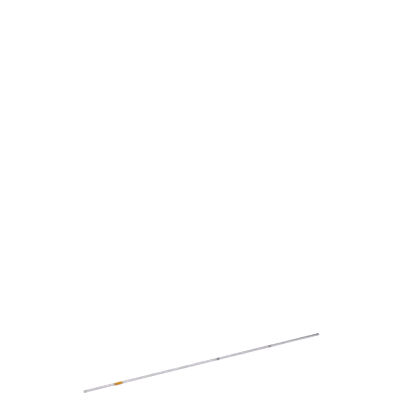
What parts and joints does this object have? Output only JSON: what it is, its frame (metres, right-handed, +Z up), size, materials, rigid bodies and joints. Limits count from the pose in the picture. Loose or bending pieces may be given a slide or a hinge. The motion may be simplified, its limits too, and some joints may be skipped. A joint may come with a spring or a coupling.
{
  "type": "glass capillary tube",
  "caption": "Straight clear glass capillary tube with a fine round bore, rounded rims, an orange band near one end and dark ring marks, for drawing up small measured volumes of liquid.",
  "frame": {"origin": "on the table under the middle of the tube's length, where the enamel rings touch it", "axes": "+X along the tube towards the filling tip, +Z up from the table the tube lies on"},
  "size_m": [0.125, 0.001, 0.001],
  "materials": {
    "clear_glass": "clear drawn borosilicate glass with a smooth flame-polished skin",
    "orange_enamel": "thin fired orange enamel, slightly uneven, with a soft gloss",
    "dark_enamel": "thin fired near-black enamel, slightly uneven, with a soft gloss"
  },
  "bodies": {
    "root": {"glass_tube": "clear_glass", "colour_band": "orange_enamel", "first_ring_mark": "dark_enamel", "second_ring_mark": "dark_enamel"}
  },
  "joints": []
}
